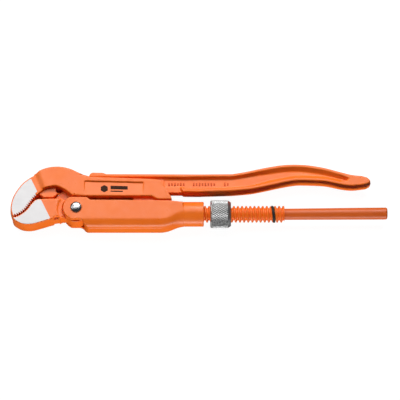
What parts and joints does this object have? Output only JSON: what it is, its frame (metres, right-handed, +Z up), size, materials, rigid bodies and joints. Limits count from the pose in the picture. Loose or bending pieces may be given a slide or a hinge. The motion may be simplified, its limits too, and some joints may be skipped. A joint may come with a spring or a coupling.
{
  "type": "pipe wrench",
  "caption": "Swedish-pattern pipe wrench with S-shaped toothed jaws, a lever leg, a spindle leg, a sliding sleeve and a knurled adjusting nut.",
  "frame": {"origin": "centre of the footprint at the height of the table, tool lying flat on its back cheek", "axes": "+X from the jaws to the end of the round handle, +Y from the spindle leg to the lever leg, +Z up out of the rivet-head side"},
  "size_m": [0.3195, 0.058, 0.0263],
  "materials": {
    "hook_paint": "satin orange powder coat; jaw sides ground bare",
    "lever_paint": "satin orange powder coat; jaw sides ground bare",
    "sleeve_paint": "satin orange powder coat",
    "polished_steel": "polished",
    "zinc_plate": "zinc plated, diamond knurled",
    "black_rubber": "matt",
    "spring_steel": "blued strip",
    "rivet_steel": "plain"
  },
  "bodies": {
    "hook": {"hook_leg": "hook_paint", "stop_ring": "black_rubber"},
    "sleeve": {"slide_sleeve": "sleeve_paint", "pivot_rivet": "polished_steel", "leaf_spring": "spring_steel", "spring_rivet": "rivet_steel"},
    "lever": {"lever_leg": "lever_paint"},
    "nut": {"adjusting_nut": "zinc_plate"}
  },
  "joints": [
    {"name": "sleeve_slide", "type": "slide", "parent": "hook", "child": "sleeve", "axis": [1, 0, 0], "range_m": [0, 0.033]},
    {"name": "lever_pivot", "type": "hinge", "parent": "sleeve", "child": "lever", "pos_m": [-0.10418, -0.0125, 0.012], "axis": [0, 0, 1], "range_deg": [0, 10]},
    {"name": "nut_spin", "type": "hinge", "parent": "sleeve", "child": "nut", "pos_m": [0.01822, -0.0145, 0.012], "axis": [1, 0, 0], "range_deg": [0, 3396]}
  ],
  "couplings": [
    {"joint": "nut_spin", "follows": "sleeve_slide", "rad_per_m": 1795.2}
  ]
}
